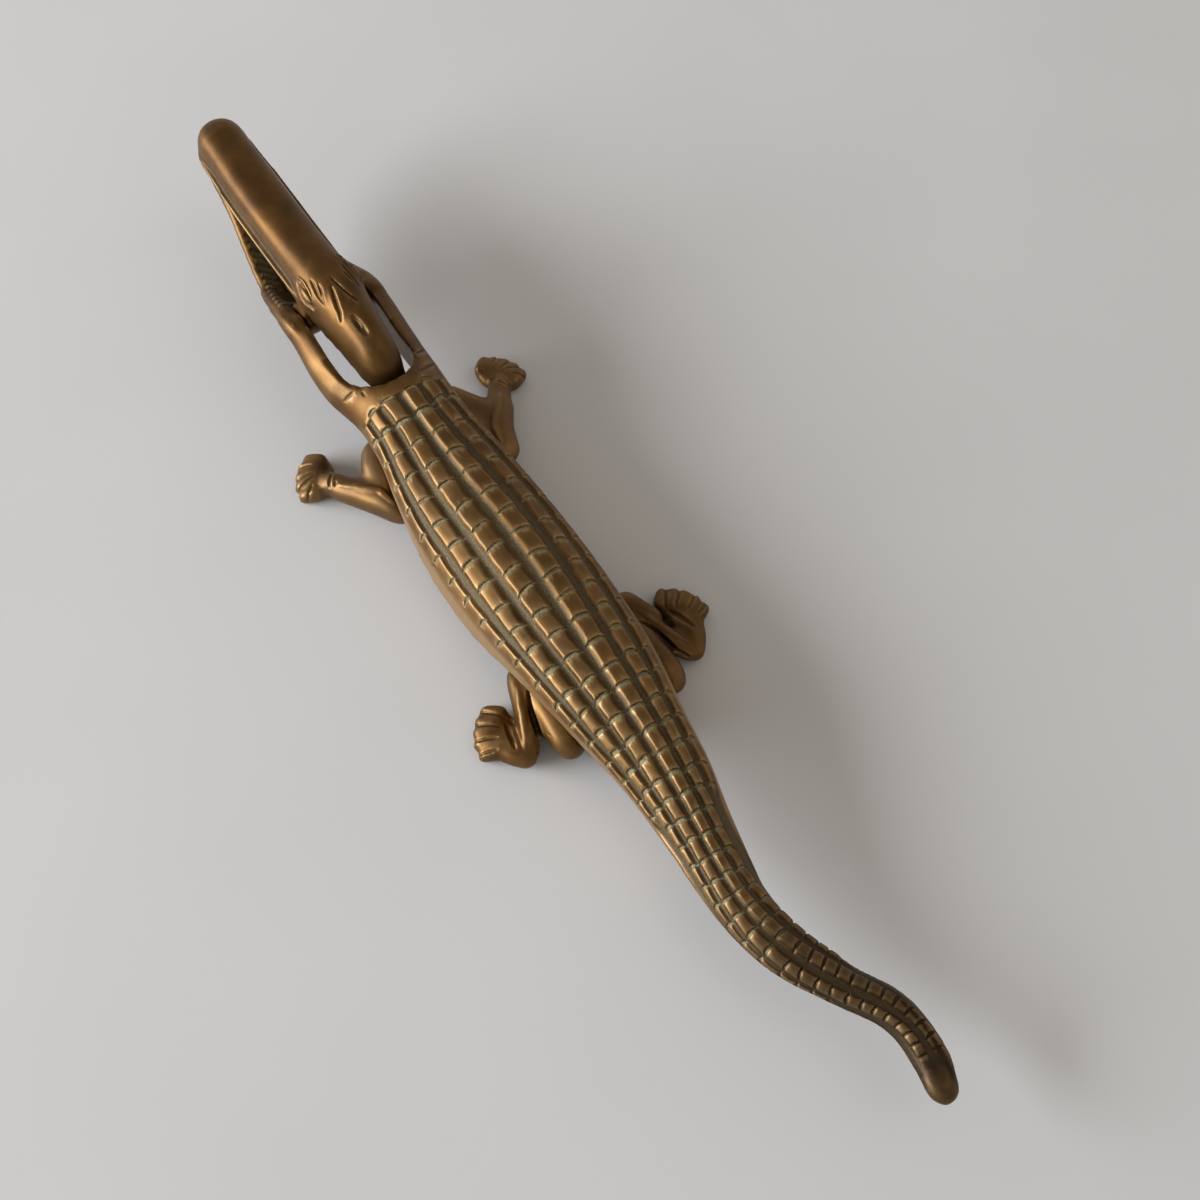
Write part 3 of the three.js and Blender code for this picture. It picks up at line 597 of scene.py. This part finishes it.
legStrokes = [
    # folds of the wrist, ridge of the fore leg, toes of the fore paw
    dict(path=[(55.9, 25.6, 7.8), (53.1, 28.1, 7.0)], width=0.6, lift=-0.45, lips=0.35, rightShift=rightFore),
    dict(path=[(53.1, 25.8, 8.2), (51.8, 26.9, 7.6)], width=0.5, lift=-0.35, rightShift=rightFore),
    dict(path=[(51.6, 25.9, 8.1), (46.8, 21.8, 9.7), (42.3, 17.9, 10.5), (36.1, 16.5, 10.0)],
         width=1.4, lift=0.5, rightShift=rightElbow),
    dict(path=[(58.9, 36.5, 2.5), (59.2, 34.1, 4.4), (59.8, 29.2, 5.6)], rightShift=rightFore, **toe),
    dict(path=[(62.7, 35.0, 2.5), (61.9, 32.9, 4.4), (60.6, 28.8, 5.8)], rightShift=rightFore, **toe),
    dict(path=[(66.3, 32.6, 2.5), (65.1, 30.8, 4.4), (63.4, 28.1, 5.3)], rightShift=rightFore, **toe),
    dict(path=[(54.3, 35.3, 2.4), (55.3, 34.0, 3.8), (57.6, 31.0, 4.9)], rightShift=rightFore, **toe),
    # toes of the hind paw, hollow of the ankle, ridge of the shin, hollow beside the thigh and two pits in it
    dict(path=[(-24.9, 29.8, 2.5), (-26.3, 28.7, 4.0), (-30.8, 25.3, 5.0)], rightShift=rightHind, **toe),
    dict(path=[(-27.2, 33.0, 2.2), (-28.5, 31.7, 3.4), (-32.8, 27.3, 5.5)], rightShift=rightHind, **toe),
    dict(path=[(-31.0, 35.6, 2.5), (-32.1, 34.0, 4.3), (-35.0, 29.6, 6.0)], rightShift=rightHind, **toe),
    dict(path=[(-35.2, 36.3, 2.5), (-35.7, 35.0, 4.2), (-37.4, 31.2, 5.8)], rightShift=rightHind, **toe),
    dict(path=[(-32.1, 25.6, 4.7), (-36.4, 26.9, 6.2), (-40.4, 27.8, 6.6)], width=1.0, lift=-0.6,
         rightShift=rightHind),
    dict(path=[(-27.7, 18.9, 10.1), (-34.2, 21.8, 9.4), (-41.6, 25.5, 6.1)], width=1.5, lift=0.35),
    dict(path=[(-30.3, 17.3, 10.7), (-33.6, 18.9, 9.3), (-39.5, 20.8, 6.8), (-46.0, 22.5, 6.0)],
         width=1.0, lift=-1.3),
    dict(path=[(-42.6, 19.2, 9.4), (-43.1, 19.3, 9.1)], oval=True, width=0.4, lift=-0.4, sides=(False,)),
    dict(path=[(-26.4, 19.2, 9.6), (-26.8, 19.3, 9.6)], oval=True, width=0.35, lift=-0.35, sides=(False,)),
]
# the right legs are fuller than the left ones: x, y, height and radius along each added limb, in mm
fullLimbs = [
    [(58.0, -13.5, 7.2, 5.8), (52.5, -17.6, 7.0, 5.0), (47.5, -21.0, 6.6, 4.6)],
    [(50.0, -25.0, 5.6, 4.6), (43.5, -20.6, 6.4, 4.9), (37.0, -18.0, 6.2, 5.2)],
    [(-23.0, -18.0, 6.8, 3.9), (-30.0, -20.6, 6.6, 3.8)],
]


def fillOut(work):
    for path in fullLimbs:
        fillLimb(work, path, base["fullHeight"])


def onLegs(points):
    return ramp(np.abs(points[:, 1]), *base["legInner"]) * (points[:, 0] < base["legFront"])


# dull hollow between each fore leg and the belly
def inArmpit(points):
    s = base["armpit"]
    x, side, height = points[:, 0], np.abs(points[:, 1]), points[:, 2]
    lengthwise = ramp(x, s["rear"], s["rear"] + 5) * (1 - ramp(x, s["front"] - 4, s["front"]))
    sideways = ramp(side, s["inner"], s["inner"] + 2) * (1 - ramp(side, s["outer"] - 2, s["outer"] + 1))
    return lengthwise * sideways * (height < s["high"])


def makeBase():
    s = base
    piece = castingBlank("baseSkin", "base_casting", s["voxel"], fillOut)
    mesh = piece.data
    edges = readEdges(mesh)
    points = settleForm(readPoints(mesh), edges, s["lightRounds"], None)
    writePoints(mesh, points)
    normals = readNormals(mesh)
    # the head is smoothed most, the legs less, the paws hardly
    head = ramp(points[:, 0], s["headRear"], s["headRear"] + 3)
    head = head * ramp(points[:, 2], s["headLow"], s["headLow"] + 6) * ramp(normals[:, 2], -0.35, 0.1)
    limb = s["limbShare"] * onLegs(points) * ramp(normals[:, 2], -0.7, -0.3)
    for x, y in s["paws"]:
        reach = np.hypot(points[:, 0] - x, points[:, 1] - y)
        limb = np.minimum(limb, s["pawShare"] + ramp(reach, s["pawReach"] - 3, s["pawReach"] + 2))
    weight = relax(np.maximum(head, limb), edges, 3)
    points = settleForm(points, edges, s["formRounds"], weight)
    bend = np.clip((points[:, 0] - s["bendFrom"]) / s["bendLength"], 0, 1) ** 2
    points[:, 1] += s["bendSide"] * bend
    points[:, 2] += s["bendUp"] * bend * ramp(points[:, 2], s["lipLow"] - 2, s["lipLow"] + 4)
    points[:, 2] = np.maximum(points[:, 2], 0)
    writePoints(mesh, points)
    refine(piece, 1)
    mesh = piece.data
    points = readPoints(mesh)
    normals = readNormals(mesh)
    lift, channel = lipChannel(points, normals)
    points, floor = carve(points + lift[:, None] * normals, normals, headStrokes + legStrokes)
    writePoints(mesh, keepInBox(points))
    setAttribute(mesh, "cutFloor", np.maximum(floor, 0.15 * channel))
    setAttribute(mesh, "sandy", np.maximum(0.25 * inArmpit(points), 0.5 * channel))
    # the legs are paler, the fore legs most: a painted reflection of the pale table over rubbed brass
    legTone = np.where(points[:, 0] > 0, s["foreTone"], s["hindTone"])
    setAttribute(mesh, "tone", legTone * onLegs(points))
    thinOut(piece, s["triangles"])
    return piece


# long hollow over the bead of the upper lip, with the crown of the snout drawn in over it
def lipChannel(points, normals):
    s = base
    low, high = s["lipLow"], s["lipHigh"]
    side = ramp(np.abs(normals[:, 1]), 0.0, 0.9) * ramp(points[:, 0], s["lipRear"] - 4, s["lipRear"] + 6)
    side *= 1 - ramp(points[:, 0], s["lipFront"] - 10, s["lipFront"] + 4)
    height = points[:, 2]
    hollow = ramp(height, low - 0.2, low + 0.5) * (1 - ramp(height, high - 1.2, high))
    edge = bell(height, high + 0.6, 0.7)
    narrow = ramp(height, low - 0.2, low + 0.6) * (1 - 0.6 * ramp(height, high, high + 4))
    lift = s["lipEdge"] * edge - s["lipDepth"] * hollow - s["crownNarrow"] * narrow
    return side * lift, side * hollow


# Cast brass under an old brown patina: satin and warm, paler on worn edges, with a painted reflection of the
# pale table over rubbed brass on the flanks and legs and painted shade in hollows, dull and sandy between the
# scales, with grey-olive dirt in the cuts
patina = dict(
    # the hollow colour is painted shade
    # the pale colour of flanks and legs is a painted reflection of the pale table over rubbed brass
    brown=("#4f3310", "#6e4c1f"), bare="#b8966a", tailDark="#2c1d0c", worn="#a08257", hollow="#33240d",
    dust=("#4c4027", "#6f6040"), dirt=("#6b6243", "#958c68"),
    cloudSize=12.0,
    grainSize=0.35, grainHeight=0.25,  # sand of the mould, coarser than real so that it shows
    satin=0.47, dull=0.7, smoothBump=0.06, sandBump=0.5,
    metal=0.85, dirtMetal=0.2, coat=0.12, coatRoughness=0.4,
)


def castBrass():
    s = patina
    material = bpy.data.materials.new("cast brass, old brown patina")
    material.use_nodes = True
    tree = material.node_tree
    tree.nodes.clear()
    place = addNode(tree, "ShaderNodeTexCoord").outputs["Object"]
    cutFloor = addNode(tree, "ShaderNodeAttribute", dict(attribute_name="cutFloor")).outputs["Fac"]
    sandy = addNode(tree, "ShaderNodeAttribute", dict(attribute_name="sandy")).outputs["Fac"]
    wearAndShade = addNode(tree, "ShaderNodeAttribute", dict(attribute_name="wearAndShade")).outputs["Fac"]
    tone = addNode(tree, "ShaderNodeAttribute", dict(attribute_name="tone")).outputs["Fac"]
    clouds = addNode(tree, "ShaderNodeTexNoise", links={"Vector": place},
                     values={"Scale": 1 / (s["cloudSize"] * mm), "Detail": 4.0}).outputs["Fac"]
    grains = addNode(tree, "ShaderNodeTexNoise", links={"Vector": place},
                     values={"Scale": 1 / (s["grainSize"] * mm), "Detail": 3.0}).outputs["Fac"]

    def fade(factor, low, high, first=0.0, last=1.0):
        ends = {"From Min": low, "From Max": high, "To Min": first, "To Max": last}
        return addNode(tree, "ShaderNodeMapRange", links={"Value": factor}, values=ends).outputs["Result"]

    def blend(factor, first, second):
        node = addNode(tree, "ShaderNodeMix", dict(data_type="RGBA"), links={"Factor": factor})
        for socket, colour in ((node.inputs[6], first), (node.inputs[7], second)):
            if isinstance(colour, str):
                socket.default_value = linear(colour)
            else:
                tree.links.new(colour, socket)
        return node.outputs[2]

    def product(a, b):
        node = addNode(tree, "ShaderNodeMath", dict(operation="MULTIPLY"))
        tree.links.new(a, node.inputs[0])
        tree.links.new(b, node.inputs[1])
        return node.outputs["Value"]

    body = blend(fade(clouds, 0.35, 0.68), *s["brown"])
    # flanks and legs paler: a painted reflection of the pale table over rubbed brass
    body = blend(fade(tone, 0, 1, 0.0, 0.85), body, s["bare"])
    body = blend(fade(tone, 0, -1, 0.0, 0.9), body, s["tailDark"])
    body = blend(fade(wearAndShade, 0.12, 1.0), body, s["worn"])
    # darker brown in hollows: painted shade
    body = blend(fade(wearAndShade, -0.1, -0.8), body, s["hollow"])
    dust = blend(fade(grains, 0.38, 0.62), *s["dust"])
    body = blend(fade(sandy, 0.1, 0.9, 0.0, 0.8), body, dust)
    dirt = blend(fade(grains, 0.38, 0.62), *s["dirt"])
    onFloor = fade(cutFloor, 0.15, 0.75)
    body = blend(onFloor, body, dirt)
    metal = product(fade(onFloor, 0, 1, s["metal"], s["dirtMetal"]), fade(sandy, 0, 1, 1.0, 0.6))
    relief = addNode(tree, "ShaderNodeMath", dict(operation="MAXIMUM"))
    tree.links.new(onFloor, relief.inputs[0])
    tree.links.new(sandy, relief.inputs[1])
    roughness = fade(relief.outputs["Value"], 0, 1, s["satin"], s["dull"])
    strength = fade(relief.outputs["Value"], 0, 1, s["smoothBump"], s["sandBump"])
    bump = addNode(tree, "ShaderNodeBump", links={"Height": grains, "Strength": strength},
                   values={"Distance": s["grainHeight"] * mm}).outputs["Normal"]
    shader = addNode(tree, "ShaderNodeBsdfPrincipled", links={
        "Base Color": body, "Metallic": metal, "Roughness": roughness, "Normal": bump},
        values={"Coat Weight": s["coat"], "Coat Roughness": s["coatRoughness"]})
    addNode(tree, "ShaderNodeOutputMaterial", links={"Surface": shader.outputs["BSDF"]})
    return material


# Table top: matt pale grey paint, faintly cloudy
tableTop = dict(greys=("#d6d6d5", "#dfdfde"), cloudSize=90.0, roughness=0.85, size=3.0)


def palePaint():
    s = tableTop
    material = bpy.data.materials.new("matt pale paint")
    material.use_nodes = True
    tree = material.node_tree
    shader = tree.nodes["Principled BSDF"]
    place = addNode(tree, "ShaderNodeTexCoord").outputs["Object"]
    clouds = addNode(tree, "ShaderNodeTexNoise", links={"Vector": place},
                     values={"Scale": 1 / (s["cloudSize"] * mm), "Detail": 2.0})
    shade = addNode(tree, "ShaderNodeValToRGB", links={"Fac": clouds.outputs["Fac"]})
    for stop, grey in zip(shade.color_ramp.elements, s["greys"]):
        stop.color = linear(grey)
    tree.links.new(shade.outputs["Color"], shader.inputs["Base Color"])
    shader.inputs["Roughness"].default_value = s["roughness"]
    return material


brass = castBrass()
for piece, body, node in ((makeLever(), "lever", "lever_casting"), (makeBase(), "base", "base_casting")):
    mesh = piece.data
    setAttribute(mesh, "wearAndShade", findWearAndShade(mesh, rounds=12, span=0.35))
    mesh.materials.clear()
    mesh.materials.append(brass)
    mesh.polygons.foreach_set("use_smooth", np.ones(len(mesh.polygons), bool))
    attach(piece, body)
    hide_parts(node)
    print(piece.name, "done")

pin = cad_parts["pivot_pin"]
pin.data.materials.clear()
pin.data.materials.append(brass)

# floor, light and camera
floorMesh = bpy.data.meshes.new("floor")
work = bmesh.new()
bmesh.ops.create_grid(work, x_segments=1, y_segments=1, size=tableTop["size"])
work.to_mesh(floorMesh)
work.free()
floorMesh.materials.append(palePaint())
floor = bpy.data.objects.new("floor", floorMesh)
bpy.context.scene.collection.objects.link(floor)

# the photograph's own view: metres and degrees
shot = dict(target=(-0.01483, -0.01542, 0.0), azimuth=235.457, elevation=62.5, distance=0.38925, view=45.0)


def direction(azimuth, elevation):
    a, e = math.radians(azimuth), math.radians(elevation)
    return Vector((math.sin(a) * math.cos(e), -math.cos(a) * math.cos(e), math.sin(e)))


def aim(thing, target):
    thing.rotation_euler = (Vector(target) - thing.location).to_track_quat("-Z", "Y").to_euler()


cameraData = bpy.data.cameras.new("photo camera")
cameraData.sensor_width = 36
cameraData.lens = 18 / math.tan(math.radians(shot["view"] / 2))
cameraData.clip_start = 0.01
camera = bpy.data.objects.new("photo camera", cameraData)
camera.location = Vector(shot["target"]) + shot["distance"] * direction(shot["azimuth"], shot["elevation"])
aim(camera, shot["target"])
bpy.context.scene.collection.objects.link(camera)
bpy.context.scene.camera = camera

lamps = [
    dict(name="window", azimuth=153.0, elevation=17.5, distance=2.2, wide=2.0, high=1.0,
         watts=78.0, colour="#f4f8ff"),
    dict(name="fill", azimuth=330.0, elevation=55.0, distance=1.5, wide=1.2, high=1.2,
         watts=1.5, colour="#fff4e6"),
]
for lamp in lamps:
    data = bpy.data.lights.new(lamp["name"], "AREA")
    data.shape = "ELLIPSE"
    data.size = lamp["wide"]
    data.size_y = lamp["high"]
    data.energy = lamp["watts"]
    data.color = linear(lamp["colour"])[:3]
    light = bpy.data.objects.new(lamp["name"], data)
    light.location = lamp["distance"] * direction(lamp["azimuth"], lamp["elevation"])
    aim(light, (0, 0, 0.01))
    bpy.context.scene.collection.objects.link(light)

# pale room round the table, brighter at the sides than overhead
room = dict(colour="#f3ebe2", low=0.2, high=0.85, sides=0.6, overhead=0.3)
world = bpy.data.worlds.new("pale room")
world.use_nodes = True
sky = world.node_tree
sky.nodes["Background"].inputs["Color"].default_value = linear(room["colour"])
view = addNode(sky, "ShaderNodeTexCoord").outputs["Generated"]
height = addNode(sky, "ShaderNodeSeparateXYZ", links={"Vector": view}).outputs["Z"]
ends = {"From Min": room["low"], "From Max": room["high"],
        "To Min": room["sides"], "To Max": room["overhead"]}
glow = addNode(sky, "ShaderNodeMapRange", dict(interpolation_type="SMOOTHSTEP"), links={"Value": height},
               values=ends).outputs["Result"]
sky.links.new(glow, sky.nodes["Background"].inputs["Strength"])
bpy.context.scene.world = world
bpy.context.scene.view_settings.view_transform = "Standard"
print("table, camera, lamps and room set")
